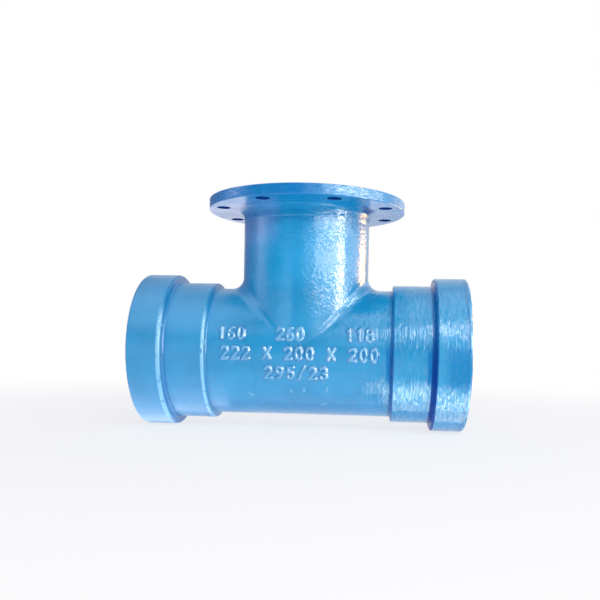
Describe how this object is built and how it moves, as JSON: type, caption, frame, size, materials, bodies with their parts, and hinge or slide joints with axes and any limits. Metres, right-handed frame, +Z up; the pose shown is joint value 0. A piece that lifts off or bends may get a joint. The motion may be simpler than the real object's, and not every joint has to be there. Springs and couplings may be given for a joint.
{
  "type": "double socket tee",
  "caption": "Ductile iron pipe tee with a push-on socket and rubber ring at each end of the run and a flanged branch at right angles.",
  "frame": {"origin": "where the centre lines of the run and the branch cross", "axes": "+X along the run towards the right socket, +Z up the branch towards its flange, -Y towards the side that carries the cast characters"},
  "size_m": [0.556, 0.34, 0.3954],
  "materials": {
    "blue_epoxy_on_ductile_iron": "glossy blue epoxy over a sand-cast surface",
    "ring_rubber": "matt moulded rubber"
  },
  "bodies": {
    "root": {"tee_casting": "blue_epoxy_on_ductile_iron", "left_ring": "ring_rubber", "right_ring": "ring_rubber"}
  },
  "joints": []
}
